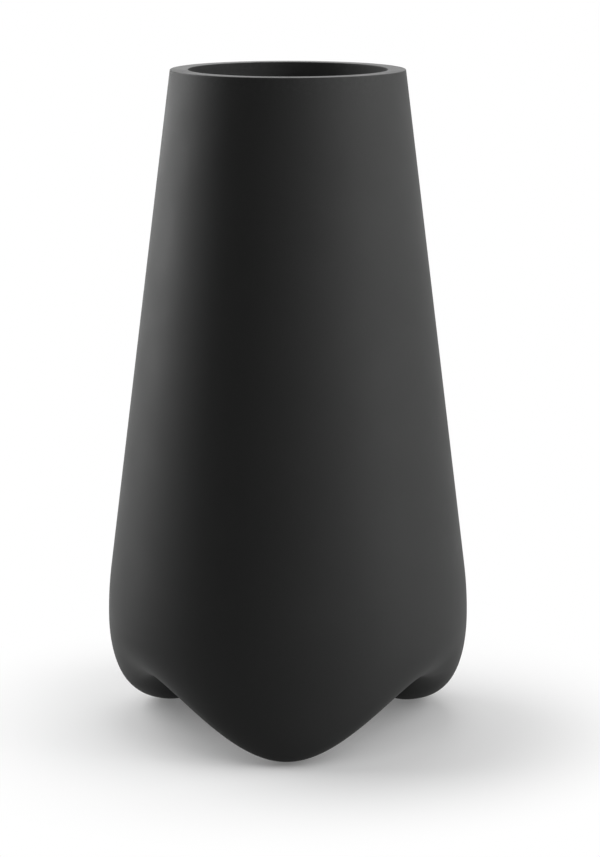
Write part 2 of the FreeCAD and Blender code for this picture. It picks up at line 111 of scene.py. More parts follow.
# Rings of points along a handle and on its end, and where the last lies in the end's quarter turn
BAND_RINGS = 120
END_RINGS = 8
END_REACH = 0.98

# How much narrower a handle's tip is, the power in its section, and a pin's share of its thickness
TIP_NARROWING = 0.25
SECTION_POWER = 0.45
PIN_SHARE = 0.96

# Start of the liner's section under its floor, in radii of the hole
LINER_START = 3

# Worn places: distance from the rim's edges, how worn those are, and height over the floor
RIM_WEAR_WIDTH = 0.003
RIM_WEAR = 0.5
TOE_WEAR_HEIGHT = 0.010

# Values that a noise texture mostly keeps between
NOISE_LOW = 0.3
NOISE_HIGH = 0.7

# Noise in the finishes: scale, detail, and the two values that it is spread between
SHELL_CLOUD = (7.0, 3.0, 0.96, 1.04)
SHELL_SCUFF = (160.0, 5.0, -0.6, 1.0)
PLASTIC_FLOW = (24.0, 3.0, 0.90, 1.10)
RUBBER_BLOOM = (90.0, 4.0, 0.85, 1.30)
RUBBER_ROUGHNESS = (120.0, 3.0, 0.74, 0.90)

# Noise for relief, from nought to one: scale and detail
SHELL_GRAIN = (850.0, 2.0)
SHELL_RIPPLE = (90.0, 1.0)
RUBBER_PITS = (1400.0, 2.0)

# Patches of rougher and smoother plastic: scale, detail and swing to each side of the mean
SHELL_PATCHES = (15.0, 3.0, 0.03)
PLASTIC_PATCHES = (40.0, 3.0, 0.05)

# Relief in the finishes: strength, and depth in metres
SHELL_RIPPLE_RELIEF = (0.35, 0.00006)
SHELL_GRAIN_RELIEF = (0.25, 0.00008)
PLASTIC_RELIEF = (0.25, 0.00006)
RUBBER_RELIEF = (0.3, 0.00006)

# Shell: spread of the grain's shade, how pale a scuff is, and how rough
GRAIN_SHADE = (0.95, 1.05)
SCUFF_SHADE = (1.0, 1.5)
SCUFF_ROUGHNESS = 0.15

# Plastic and rubber: stretch of the flow marks along X, Y and Z, detail of the grain, and specular levels
FLOW_STRETCH = (1.0, 1.0, 0.2)
PLASTIC_GRAIN_DETAIL = 2.0
PLASTIC_GLOSS = 0.35
RUBBER_GLOSS = 0.25

# Roughness and scale of the grain of the plastic pieces
PLUG_PLASTIC = (0.42, 900.0)
LINER_PLASTIC = (0.40, 700.0)
GRID_PLASTIC = (0.44, 700.0)
HANDLE_PLASTIC = (0.38, 900.0)

# Sockets of a node that mixes colours
MIX_FACTOR = 0
MIX_FIRST = 6
MIX_SECOND = 7
MIX_RESULT = 2

WHITE = (1.0, 1.0, 1.0, 1.0)

# Rings of the floor, and the radius of the first as a share of the last
FLOOR_RINGS = 20
FLOOR_FIRST_RING = 0.05

# Photograph's frame in pixels, and the size of the camera's sensor along its longer side
PHOTO_WIDTH = 600
PHOTO_HEIGHT = 857
SENSOR = 36.0

# Levels on the axis that the lamps point at
FOOT = 0.0
LOWER = 0.5
MIDDLE = 0.6
UPPER = 0.9

# Lamps: what each lights, its power in watts, its place, the level that it points at, its width and height
LAMPS = {
    "right_strip": ("planter", 8.4, (0.78, -0.45, 0.9), UPPER, 0.4, 2.2),
    "right_fill": ("planter", 7.6, (1.2, 0.0, 1.5), UPPER, 0.3, 0.3),
    "left_panel": ("planter", 30.3, (-2.72, 1.27, 0.9), MIDDLE, 0.5, 0.5),
    "left_edge": ("planter", 4.9, (-1.72, 2.46, 0.9), MIDDLE, 0.5, 0.5),
    "left_strip": ("planter", 4.0, (-1.28, 0.23, 0.5), LOWER, 0.4, 0.95),
    "left_fill": ("planter", 4.6, (-1.28, 0.23, 1.5), UPPER, 0.4, 0.4),
    "left_back": ("planter", 14.4, (-1.13, 0.65, 1.6), UPPER, 0.4, 0.4),
    "top_panel": ("planter", 5.0, (-0.5, 0.3, 3.0), MIDDLE, 2.0, 2.0),
    "inside_panel": ("inside", 60.0, (0.3, -0.5, 3.4), UPPER, 0.8, 0.8),
    "floor_back": ("floor", 25.8, (0.0, 1.0, 3.0), FOOT, 2.0, 2.0),
    "floor_front": ("floor", 31.9, (1.27, -1.27, 2.4), FOOT, 2.8, 2.8),
    "floor_left": ("floor", 56.8, (-1.88, 0.68, 1.5), FOOT, 2.4, 2.4),
    "floor_right": ("floor", 17.3, (1.97, -0.35, 1.3), FOOT, 1.6, 1.6),
}


# Properties

def length(name, description, default):
    """Property for a length in metres."""
    return FloatProperty(
        name=name, description=description, default=default, min=0.0, precision=4, unit="LENGTH")


def share(name, description, default):
    """Property for a plain ratio."""
    return FloatProperty(
        name=name, description=description, default=default, min=0.0, max=1.0, subtype="FACTOR")


def amount(name, description, default):
    """Property for a plain number that isn't negative."""
    return FloatProperty(name=name, description=description, default=default, min=0.0)


def angle(name, description, default):
    """Property for an angle in radians."""
    return FloatProperty(name=name, description=description, default=default, subtype="ANGLE")


def colour(name, description, default):
    """Property for a linear colour."""
    return FloatVectorProperty(
        name=name, description=description, default=default, min=0.0, max=1.0, size=3, subtype="COLOR")


class PlanterShellSizes(bpy.types.PropertyGroup):
    """Sizes of the moulded shell."""

    height: length("Height", "Floor to rim", SHELL_HIGH.z)
    rim_diameter: length("Rim diameter", "Outside of the flat rim", 0.350)
    rim_width: length("Rim width", "Flat rim, from its outer edge to the mouth", 0.027)
    rim_edge: length("Rim edge", "Rounding of both edges of the rim", 0.0012)
    belly_diameter: length("Belly diameter", "Widest part of the shell", SHELL_HIGH.x - SHELL_LOW.x)
    belly_height: length("Belly height", "Level of the widest part", 0.172)
    belly_blend: length("Belly blend", "Radius of the arc between the belly and the straight cone", 0.590)
    foot_circle: length("Foot circle", "Diameter of the circle through the three toes", 0.423)
    foot_fullness: share("Foot fullness", "How squarely the wall turns under at a foot", 0.805)
    toe_height: length("Toe height", "Lowest level of the moulding over the floor", 0.0005)
    arch_circle: length("Arch circle", "Diameter of the toe line's wave at an arch", 0.478)
    arch_height: length("Arch height", "Level of that wave at an arch", 0.112)
    arch_fullness: share("Arch fullness", "How squarely the wall turns under over an arch", 0.592)
    crown_set_in: length("Crown set-in", "How far the crown of an arch lies behind that wave", 0.0373)
    crown_drop: length("Crown drop", "How far it lies under that wave", 0.0217)
    crown_softness: share("Crown softness", "How much more gently the wall turns under there", 0.11)
    underside_height: length("Underside height", "Level of the disc in the middle of the underside", 0.108)
    underside_disc: length("Underside disc", "Diameter of that disc", 0.120)
    underside_ease: share("Underside ease", "How gently the underside runs from a toe to the disc", 0.5)
    wall: length("Wall", "Thickness of the side wall", 0.006)
    floor_wall: length("Floor wall", "Thickness of the underside", 0.008)
    lip_wall: length("Lip wall", "Thickness of the lip that returns into the mouth", 0.006)
    mouth_land: length("Mouth land", "Depth of the straight part of the mouth", 0.026)
    lip_taper: length("Lip taper", "How far the mouth narrows down to the ledge", 0.0015)
    ledge_depth: length("Ledge depth", "Rim to the ledge that carries the liner", 0.046)
    ledge_width: length("Ledge width", "Width of that ledge", 0.010)
    lip_return: length("Lip return", "Depth of the lip below the ledge", 0.014)
    drain_diameter: length("Drain diameter", "Hole in the middle of the underside", 0.040)
    columns: IntProperty(name="Columns", description="Points round the shell", default=324, min=24)


class PlanterFittingSizes(bpy.types.PropertyGroup):
    """Sizes of the rubber pads, the folding handles and the plugs."""

    pad_edge: length("Pad edge", "Rounding of a pad's lower edge", 0.0010)
    stem_diameter: length("Stem diameter", "Stem of a pad", 0.010)
    stem_height: length("Stem height", "Top of the stem over the floor", 0.008)
    head_diameter: length("Head diameter", "Head of a pad inside the shell", 0.016)
    pad_height: length("Pad height", "Top of the pad's disc over the floor", 0.0035)
    handle_width: length("Handle width", "Band of a handle, across", 0.007)
    pivot_reach: length("Pivot reach", "How far the ends of the two pivots are from the middle", 0.129)
    plug_wall: length("Plug wall", "Wall of a plug's barrel", 0.003)
    plug_flange: length("Plug flange", "Thickness of a plug's flange", 0.004)
    plug_lead: length("Plug lead", "Tapered end of a plug's barrel", 0.003)
    plug_clearance: length("Plug clearance", "Between a plug's barrel and its hole", 0.0003)
    grip_height: length("Grip height", "Bar under a plug, below the flange", 0.012)
    grip_thickness: length("Grip thickness", "Bar under a plug, across", 0.005)


class PlanterLinerSizes(bpy.types.PropertyGroup):
    """Sizes of the lift-out liner."""

    depth: length("Depth", "Underside of the floor to the underside of the flange", 0.340)
    radius: length("Radius", "Outside of the wall, under the flange", 0.1315)
    wall: length("Wall", "Thickness of the wall", 0.003)
    floor: length("Floor", "Thickness of the floor", 0.004)
    flange: length("Flange", "Thickness of the flange", 0.004)
    draft: angle("Draft", "Lean of the wall", math.radians(4.0))
    step_height: length("Step height", "Level of the step under the grid", 0.042)
    step_width: length("Step width", "How far the wall steps in", 0.006)
    stopper_hole: length("Stopper hole", "Diameter of the hole in the floor", 0.024)
    ear_width: length("Ear width", "Pivot ear, across", 0.034)
    ear_thickness: length("Ear thickness", "Pivot ear, outwards", 0.005)
    ear_corner: length("Ear corner", "Cut-off upper corner of an ear", 0.005)


class PlanterFinishes(bpy.types.PropertyGroup):
    """Colours and gloss of the pieces."""

    shell_colour: colour("Shell colour", "Charcoal of the moulded shell", (0.050, 0.0505, 0.050))
    shell_roughness: share("Shell roughness", "Mean roughness of the moulded shell", 0.55)
    shell_gloss: share("Shell gloss", "Specular level of the moulded shell", 0.06)
    rim_polish: share("Rim polish", "How much smoother the trimmed rim is", 0.25)
    liner_colour: colour("Liner colour", "Black of the liner", (0.018, 0.018, 0.019))
    grid_colour: colour("Grid colour", "Black of the drain grid", (0.030, 0.031, 0.031))
    handle_colour: colour("Handle colour", "Black of the handles", (0.030, 0.031, 0.032))
    plug_colour: colour("Plug colour", "Black of the drain plug", (0.025, 0.026, 0.026))
    pad_colour: colour("Pad colour", "Black of the pads and the seal", (0.020, 0.020, 0.020))
    stopper_colour: colour("Stopper colour", "Black of the liner's stopper", (0.030, 0.030, 0.030))


class PlanterStageSizes(bpy.types.PropertyGroup):
    """Camera, floor and even light."""

    camera_distance: length("Camera distance", "From the axis of the planter, along the floor", 4.1973)
    camera_height: length("Camera height", "Over the floor", 1.3048)
    camera_turn: angle("Camera turn", "Round the axis of the planter", 0.0106)
    camera_pitch: angle("Camera pitch", "Below the horizon", 0.1994)
    focal_pixels: amount("Focal length", "In pixels of the photograph", 2817.8)
    centre_column: amount("Centre column", "Pixel column on the optical axis", 287.91)
    floor_radius: length("Floor radius", "Round floor under the planter", 6.0)
    floor_near: length("Floor near", "Radius inside which the floor is plain paint", 0.32)
    floor_far: length("Floor far", "Radius from which the floor is plain white", 0.62)
    floor_colour: colour("Floor colour", "Paint of the floor", (0.80, 0.80, 0.80))
    floor_glow: amount("Floor glow", "Part of the floor's white that shadows leave", 0.166)
    floor_bounce: share("Floor bounce", "Share of light that the floor throws back onto the planter", 0.39)
    ambient: amount("Ambient", "Even light from all round", 0.03)


# Curves in a section: radius first, then level

def bezier(poles, steps):
    """Points on cubic curves: the four poles weighted by (1-t)^3, 3t(1-t)^2, 3t^2(1-t) and t^3."""
    t = np.linspace(0.0, 1.0, steps + 1)
    weights = np.stack([(1 - t) ** 3, 3 * t * (1 - t) ** 2, 3 * t ** 2 * (1 - t), t ** 3], axis=-1)
    return np.einsum("sp,...pk->...sk", weights, poles)


def rounded(corners, radii, steps=5, run_out=0.25):
    """Open polyline with each inner corner turned into an arc of its own radius.

    An arc leaves a side at radius / tan(half the corner) from the corner. It is a cubic curve whose handles
    are 4/3 tan(a quarter of the turn) radii long. A point on each side, run_out radii away, keeps the sides
    flat.
    """
    corners = np.asarray(corners, float)
    radii = np.asarray(radii, float)[:, None]
    here = corners[1:-1]
    back = corners[:-2] - here
    ahead = corners[2:] - here
    back = back / np.linalg.norm(back, axis=1, keepdims=True)
    ahead = ahead / np.linalg.norm(ahead, axis=1, keepdims=True)
    between = np.arccos(np.clip(np.sum(back * ahead, axis=1, keepdims=True), -1, 1))
    reach = radii / np.tan(between / 2)
    handle = 4 / 3 * np.tan((math.pi - between) / 4) * radii
    poles = np.stack([
        here + back * reach, here + back * (reach - handle),
        here + ahead * (reach - handle), here + ahead * reach], axis=1)
    arcs = bezier(poles, steps)
    before = arcs[:, :1] + back[:, None] * (radii * run_out)[:, None]
    after = arcs[:, -1:] + ahead[:, None] * (radii * run_out)[:, None]
    inner = np.concatenate([before, arcs, after], axis=1).reshape(-1, 2)
    return np.concatenate([corners[:1], inner, corners[-1:]])


def around(count):
    """Angles of evenly spaced points round an axis, from nought."""
    return np.arange(count) * (2 * math.pi / count)


def repeated(section, count):
    """The same section for each of a number of azimuths."""
    return np.broadcast_to(section, (count, *section.shape))


def skin_section(size, azimuth, wall, floor, steps):
    """Section of one skin of the shell for each azimuth, from the rim to the disc underneath.

    The straight cone runs from the rim to its tangent on a large arc, and the arc ends upright at the belly.
    A full cubic curve turns the wall under to the toe line, and another runs back to the disc. The toe line
    is a cosine wave round the axis, with a crest at each toe and a trough at each arch. One less that wave,
    to a power, is one at the crown of an arch and nought at a toe. That much of the crown's set-in, drop and
    softness is taken off the toe line's radius and level and off the fullness of the turn under. The whole
    is set in by wall at the sides and by floor underneath.
    """
    edge_steps, cone_steps, arc_steps, turn_steps, under_steps = steps
    count = len(azimuth)
    foot = (1 + np.cos(len(FEET) * azimuth)) / 2
    blend = size.belly_blend
    belly = np.array([size.belly_diameter / 2 - wall, size.belly_height])
    centre = np.array([size.belly_diameter / 2 - blend, size.belly_height])
    rim = np.array([size.rim_diameter / 2, size.height])
    to_rim = rim - centre
    lean = math.atan2(to_rim[1], to_rim[0]) - math.acos(blend / np.linalg.norm(to_rim))
    down = np.array([math.sin(lean), -math.cos(lean)])
    tangent = centre + np.array([math.cos(lean), math.sin(lean)]) * (blend - wall)
    upright = np.array([0.0, 4 / 3 * math.tan(lean / 4) * (blend - wall)])

    if wall == 0:
        edge = size.rim_edge
        inward = np.array([-1.0, 0.0])
        handle = edge * (1 - QUARTER_HANDLE)
        top = rim + down * edge
        poles = np.stack([rim + inward * edge, rim + inward * handle, rim + down * handle, top])
        lip = bezier(poles, edge_steps)
        run_out = top + down * edge
    else:
        top = tangent - down * ((size.height - wall - tangent[1]) / math.cos(lean))
        lip = top[None]
        run_out = top + down * wall
    cone = run_out + (tangent - run_out) * np.linspace(0.0, 1.0, cone_steps + 1)[:, None]
    arc = bezier(np.stack([tangent, tangent + down * upright[1], belly + upright, belly]), arc_steps)
    plain = np.concatenate([lip, cone, arc[1:]])

    crown = (1 - foot) ** CROWN_POWER
    radius = (size.arch_circle + (size.foot_circle - size.arch_circle) * foot) / 2
    level = size.arch_height + (size.toe_height - size.arch_height) * foot
    full = size.arch_fullness + (size.foot_fullness - size.arch_fullness) * foot
    full = full - size.crown_softness * crown
    toe = np.stack([radius - size.crown_set_in * crown, level - size.crown_drop * crown + floor], axis=-1)
    above = np.stack([np.full(count, belly[0]), belly[1] + (toe[:, 1] - belly[1]) * full], axis=-1)
    below = np.stack([toe[:, 0] + (belly[0] - toe[:, 0]) * full, toe[:, 1]], axis=-1)
    disc = np.array([size.underside_disc / 2, size.underside_height + floor])
    reach = np.stack([(toe[:, 0] - disc[0]) * size.underside_ease, np.zeros(count)], axis=-1)
    corner = bezier(np.stack([repeated(belly, count), above, below, toe], axis=1), turn_steps)
    under = bezier(np.stack([toe, toe - reach, disc + reach, repeated(disc, count)], axis=1), under_steps)
    return np.concatenate([repeated(plain, count), corner[:, 1:], under[:, 1:]], axis=1)


# Surfaces

def turned(section, azimuth, middle=(0.0, 0.0)):
    """Section carried round an upright axis.

    From the middle, x is the radius times the azimuth's sine, and y is less the radius times its cosine.
    """
    section = np.broadcast_to(section, (len(azimuth), *section.shape[-2:]))
    radius = section[..., 0]
    x = middle[0] + radius * np.sin(azimuth)[:, None]
    y = middle[1] - radius * np.cos(azimuth)[:, None]
    return np.stack([x, y, section[..., 1]], axis=-1)


def grid_faces(rows, columns, wrap_columns):
    """Faces of a grid whose rows close on themselves: each point with those beside and after it."""
    row = np.arange(rows)[:, None]
    column = np.arange(columns if wrap_columns else columns - 1)[None, :]
    after = (row + 1) % rows
    beside = (column + 1) % columns
    corners = np.stack([
        row * columns + column, after * columns + column,
        after * columns + beside, row * columns + beside], axis=-1)
    return corners.reshape(-1, 4)


def fan_faces(ring, pole):
    """Triangles from each side of a closed ring of points to one pole."""
    return np.stack([ring, np.roll(ring, -1), np.full(len(ring), pole)], axis=-1)


def enclosed(points, faces):
    """Six times the volume between the faces and the origin, which is negative where they face inwards."""
    first, second, third = (points[faces[:, corner]] for corner in range(3))
    volume = np.sum(first * np.cross(second, third))
    if faces.shape[1] == 4:
        volume += np.sum(first * np.cross(third, points[faces[:, 3]]))
    return volume


def closed_surface(points, poles=None):
    """Vertices, and arrays of faces that look outwards, of a closed grid of points.

    The rows of the grid close on themselves. Its columns do too, unless two poles are given: each is then
    joined to the ring of points at its end of the columns.
    """
    rows, columns = points.shape[:2]
    blocks = [grid_faces(rows, columns, poles is None)]
    points = points.reshape(-1, 3)
    if poles is not None:
        ring = np.arange(rows) * columns
        points = np.concatenate([points, np.asarray(poles, float)])
        blocks.append(fan_faces(ring, rows * columns)[:, ::-1])
        blocks.append(fan_faces(ring + columns - 1, rows * columns + 1))
    if sum(enclosed(points, block) for block in blocks) < 0:
        blocks = [block[:, ::-1] for block in blocks]
    return points, blocks


def slab(outline, near, far, edge, axes, steps=4):
    """Plate with rounded edges: a flat outline carried across from one face to the other.

    Each ring of points is the outline moved inwards along its own normals by edge (1 - sin a), at a distance
    of edge (1 - cos a) from a face, where a goes from nought to a right angle. The axes put the outline and
    the thickness in their places.
    """
    ahead = np.roll(outline, -1, axis=0) - np.roll(outline, 1, axis=0)
    ahead = ahead / np.linalg.norm(ahead, axis=1, keepdims=True)
    inward = np.stack([-ahead[:, 1], ahead[:, 0]], axis=-1)
    turn = np.linspace(0.0, math.pi / 2, steps + 1)
    inset = edge * np.concatenate([[SLAB_FACE_INSET], 1 - np.sin(turn)])
    level = edge * np.concatenate([[0.0], 1 - np.cos(turn)])
    inset = np.concatenate([inset, inset[::-1]])
    level = np.concatenate([near + level, far - level[::-1]])
    flat = outline[:, None] + inward[:, None] * inset[:, None]
    across = np.broadcast_to(level[:, None], (*flat.shape[:2], 1))
    points = np.concatenate([flat, across], axis=-1)
    middle = outline.mean(axis=0)
    poles = np.array([(*middle, near), (*middle, far)])
    return closed_surface(points[..., axes], poles[:, axes])


def add_piece(name, surfaces, finish, body, slot, *nodes):
    """Mesh object from one or more closed surfaces, which rides on a body and stands for its nodes."""
    vertices = np.concatenate([points for points, _ in surfaces])
    faces = []
    start = 0
    for points, blocks in surfaces:
        for block in blocks:
            faces += (block + start).tolist()
        start += len(points)
    mesh = bpy.data.meshes.new(name)
    mesh.from_pydata(vertices.tolist(), [], faces)
    mesh.polygons.foreach_set("use_smooth", np.ones(len(faces), bool))
    mesh.materials.append(finish)
    if mesh.validate():
        raise RuntimeError(f"{name} had broken faces")
    piece = bpy.data.objects.new(name, mesh)
    bpy.context.scene.collection.objects.link(piece)
    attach(piece, body)
    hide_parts(*nodes)
    return piece


# Finishes

def node(tree, kind, inputs=None, **settings):
    """Shader node with its settings, and with each named input set or linked."""
    made = tree.nodes.new(kind)
    for name, value in settings.items():
        setattr(made, name, value)
    for name, value in (inputs or {}).items():
        if isinstance(value, bpy.types.NodeSocket):
            tree.links.new(value, made.inputs[name])
        else:
            made.inputs[name].default_value = value
    return made


def maths(tree, operation, first, second, use_clamp=False):
    """Product, sum or other result of two varying values."""
    made = node(tree, "ShaderNodeMath", {0: first, 1: second}, operation=operation, use_clamp=use_clamp)
    return made.outputs["Value"]


def spread(tree, value, low, high, start=0.0, end=1.0):
    """Varying value, carried from between start and end to between low and high."""
    made = node(tree, "ShaderNodeMapRange", {
        "Value": value, "From Min": start, "From Max": end, "To Min": low, "To Max": high})
    return made.outputs["Result"]


def noise(tree, place, scale, detail, low=0.0, high=1.0):
    """Soft noise on the piece's own coordinates, spread between two values."""
    made = node(tree, "ShaderNodeTexNoise", {"Vector": place, "Scale": scale, "Detail": detail})
    return spread(tree, made.outputs["Fac"], low, high, NOISE_LOW, NOISE_HIGH)


def patches(tree, place, mean, scale, detail, swing):
    """Soft noise about a mean value."""
    return noise(tree, place, scale, detail, mean - swing, mean + swing)


def tinted(tree, tint, factor):
    """Plain colour times a varying factor."""
    base = node(tree, "ShaderNodeRGB")
    base.outputs["Color"].default_value = (*tint, 1.0)
    made = node(tree, "ShaderNodeVectorMath", {0: base.outputs["Color"], 1: factor}, operation="MULTIPLY")
    return made.outputs["Vector"]


def mark(tree, name):
    """Value that is stored at the points of a mesh."""
    return node(tree, "ShaderNodeAttribute", attribute_name=name, attribute_type="GEOMETRY").outputs["Fac"]


def bump(tree, height, strength, distance, normal=None):
    """Surface relief of a given depth from a varying height."""
    inputs = {"Height": height, "Strength": strength, "Distance": distance}
    if normal is not None:
        inputs["Normal"] = normal
    return node(tree, "ShaderNodeBump", inputs).outputs["Normal"]


def new_finish(name):
    """Empty material, with its node tree and the coordinates of the piece."""
    finish = bpy.data.materials.new(name)
    finish.use_nodes = True
    tree = finish.node_tree
    tree.nodes.clear()
    place = node(tree, "ShaderNodeTexCoord").outputs["Object"]
    return finish, tree, place


def close_finish(tree, shade, rough, relief, gloss):
    """Principled shader with its colour, roughness, relief and specular level, joined to the output."""
    shader = node(tree, "ShaderNodeBsdfPrincipled", {
        "Base Color": shade, "Roughness": rough, "Normal": relief, "Specular IOR Level": gloss})
    node(tree, "ShaderNodeOutputMaterial", {"Surface": shader.outputs["BSDF"]})


def shell_finish(finishes):
    """Matte moulded plastic: cloudy pigment, fine grain, a faint ripple, a smooth rim and scuffed edges."""
    finish, tree, place = new_finish("charcoal_moulded_plastic")
    cloud = noise(tree, place, *SHELL_CLOUD)
    grain = noise(tree, place, *SHELL_GRAIN)
    tint = maths(tree, "MULTIPLY", cloud, spread(tree, grain, *GRAIN_SHADE))
    scuff = maths(tree, "MULTIPLY", mark(tree, "wear"), noise(tree, place, *SHELL_SCUFF), use_clamp=True)
    tint = maths(tree, "MULTIPLY", tint, spread(tree, scuff, *SCUFF_SHADE))
    shade = tinted(tree, finishes.shell_colour, tint)
    rough = patches(tree, place, finishes.shell_roughness, *SHELL_PATCHES)
    rough = maths(tree, "ADD", rough, maths(tree, "MULTIPLY", scuff, SCUFF_ROUGHNESS))
    polish = maths(tree, "MULTIPLY", mark(tree, "polish"), finishes.rim_polish)
    rough = maths(tree, "SUBTRACT", rough, polish)
    ripple = bump(tree, noise(tree, place, *SHELL_RIPPLE), *SHELL_RIPPLE_RELIEF)
    relief = bump(tree, grain, *SHELL_GRAIN_RELIEF, ripple)
    close_finish(tree, shade, rough, relief, finishes.shell_gloss)
    return finish


def plastic_finish(name, tint, roughness, grain_scale):
    """Satin injection-moulded plastic: faint flow marks along the height, and a fine sparked grain."""
    finish, tree, place = new_finish(name)
    drawn = node(tree, "ShaderNodeMapping", {"Vector": place, "Scale": FLOW_STRETCH}).outputs["Vector"]
    shade = tinted(tree, tint, noise(tree, drawn, *PLASTIC_FLOW))
    rough = patches(tree, drawn, roughness, *PLASTIC_PATCHES)
    grain = noise(tree, place, grain_scale, PLASTIC_GRAIN_DETAIL)
    close_finish(tree, shade, rough, bump(tree, grain, *PLASTIC_RELIEF), PLASTIC_GLOSS)
    return finish


def rubber_finish(name, tint):
    """Matte rubber: dusty bloom in patches over a fine pitted skin."""
    finish, tree, place = new_finish(name)
    shade = tinted(tree, tint, noise(tree, place, *RUBBER_BLOOM))
    rough = noise(tree, place, *RUBBER_ROUGHNESS)
    relief = bump(tree, noise(tree, place, *RUBBER_PITS), *RUBBER_RELIEF)
    close_finish(tree, shade, rough, relief, RUBBER_GLOSS)
    return finish


def dress_node(name, finish):
    """Give a CAD node that stays in view a finish of its own."""
    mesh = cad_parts[name].data
    mesh.materials.clear()
    mesh.materials.append(finish)


# Pieces

def shell_surface(size):
    """Closed wall of the shell, with how worn and how polished each point is.

    The loop of one section goes down the outer skin, through the drain hole, up the inner skin, and back
    over the lip, the ledge and the mouth to the rim. The section is carried round the axis, where the toe
    line waves. Wear is a bell curve of the distance from the rim's edges and of that from the floor. Polish
    grows evenly from nought to one over the height of the rim's edge.
    """
    azimuth = around(size.columns)
    outer = skin_section(size, azimuth, 0.0, 0.0, OUTER_STEPS)
    inner = skin_section(size, azimuth, size.wall, size.floor_wall, INNER_STEPS)[:, ::-1]

    disc = size.underside_disc / 2
    hole = size.drain_diameter / 2
    low = size.underside_height
    high = low + size.floor_wall
    drain = rounded([(disc, low), (hole, low), (hole, high), (disc, high)], DRAIN_ROUNDING)

    bore = size.rim_diameter / 2 - size.rim_width
    pocket = bore - size.lip_taper
    ledge = pocket - size.ledge_width
    ledge_level = size.height - size.ledge_depth
    lip_bottom = ledge_level - size.lip_wall - size.lip_return
    plate = size.height - size.wall
    lip = rounded([
        inner[0, -1], (bore + size.lip_wall, plate), (bore + size.lip_wall, ledge_level - size.lip_wall),
        (ledge + size.lip_wall, ledge_level - size.lip_wall), (ledge + size.lip_wall, lip_bottom),
        (ledge, lip_bottom), (ledge, ledge_level), (pocket, ledge_level),
        (bore, size.height - size.mouth_land), (bore, size.height), outer[0, 0]],
        [*LIP_ROUNDING, size.rim_edge])

    drain = repeated(drain[1:-1], size.columns)
    lip = repeated(lip[1:-1], size.columns)
    section = np.concatenate([outer, drain, inner, lip], axis=1)
    radius = section[..., 0]
    level = section[..., 1]
    edges = np.array([size.rim_diameter / 2, bore])
    off_edge = np.min(np.abs(radius[..., None] - edges), axis=-1)
    rim_wear = np.exp(-((off_edge ** 2 + (level - size.height) ** 2) / RIM_WEAR_WIDTH ** 2))
    toe_wear = np.exp(-(level / TOE_WEAR_HEIGHT) ** 2)
    polish = np.clip((level - size.height) / size.rim_edge + 1, 0, 1)
    return turned(section, azimuth), {"wear": rim_wear * RIM_WEAR + toe_wear, "polish": polish}


def pad_surface(size, node_name):
    """Rubber pad: a disc with a groove underneath, a stem, and a tapered head that holds it in the toe.

    The section is a polyline with rounded corners, carried round the upright axis of the pad.
    """
    low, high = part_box(node_name)
    middle = ((low.x + high.x) / 2, (low.y + high.y) / 2)
    radius = (high.x - low.x) / 2
    stem = size.stem_diameter / 2
    head = size.head_diameter / 2
    groove = [radius * part for part in PAD_GROOVE]
    profile = rounded([
        (HUB, 0.0), (groove[0], 0.0), (groove[1], PAD_GROOVE_DEPTH), (groove[2], PAD_GROOVE_DEPTH),
        (groove[3], 0.0), (radius, 0.0), (radius, size.pad_height), (stem, size.pad_height),
        (stem, size.stem_height), (head, size.stem_height), (stem, high.z), (HUB, high.z)],
        [*PAD_GROOVE_ROUNDING, size.pad_edge, *PAD_STEM_ROUNDING])
    poles = [(*middle, 0.0), (*middle, high.z)]
    return closed_surface(turned(profile, around(PAD_COLUMNS), middle), poles)


def handle_surfaces(size, node_name, side):
    """Bail and its two pivots.

    A rounded flat band, a superellipse in section, is carried along an arc about the axis of the planter.
    Past each pivot its thickness falls off as a half circle. Each pivot is a pin turned about a line that
    runs along X.
    """
    low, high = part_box(node_name)
    level = (low.z + high.z) / 2
    half_thickness = (high.z - low.z) / 2
    reach = -low.y if side < 0 else high.y
    middle = reach - size.handle_width / 2
    near = high.y if side < 0 else low.y
    pivot = abs(near) + half_thickness

    end = math.acos(pivot / middle)
    past = half_thickness / middle
    cap = np.sin(np.linspace(END_REACH, 0.0, END_RINGS) * math.pi / 2)
    bow = np.linspace(-end, end, BAND_RINGS)[1:-1]
    along = np.concatenate([-end - past * cap, bow, end + past * cap[::-1]])
    beyond = np.clip((np.abs(along) - end) / past, 0.0, 1.0)
    thick = half_thickness * np.sqrt(1 - beyond ** 2)
    wide = size.handle_width / 2 * (1 - TIP_NARROWING * (1 - np.sqrt(1 - beyond ** 2)))
    turn = around(HANDLE_COLUMNS)
    across = np.sign(np.cos(turn)) * np.abs(np.cos(turn)) ** SECTION_POWER
    up = np.sign(np.sin(turn)) * np.abs(np.sin(turn)) ** SECTION_POWER
    radius = middle + across[:, None] * wide
    x = radius * np.sin(along)
    y = side * radius * np.cos(along)
    z = level + up[:, None] * thick
    tips = [(middle * math.sin(place), side * middle * math.cos(place), level)
            for place in (-end - past, end + past)]
    surfaces = [closed_surface(np.stack([x, y, z], axis=-1), tips)]

    far = math.sqrt(middle ** 2 - pivot ** 2)
    pin = half_thickness * PIN_SHARE
    profile = rounded([
        (PIN_HUB, size.pivot_reach), (pin, size.pivot_reach), (pin, far), (PIN_HUB, far)], PIN_ROUNDING)
    for hand in HANDS:
        pin_x = repeated(hand * profile[:, 1], HANDLE_COLUMNS)
        pin_y = side * pivot + profile[:, 0] * np.cos(turn)[:, None]
        pin_z = level + profile[:, 0] * np.sin(turn)[:, None]
        ends = [(hand * size.pivot_reach, side * pivot, level), (hand * far, side * pivot, level)]
        surfaces.append(closed_surface(np.stack([pin_x, pin_y, pin_z], axis=-1), ends))
    return surfaces


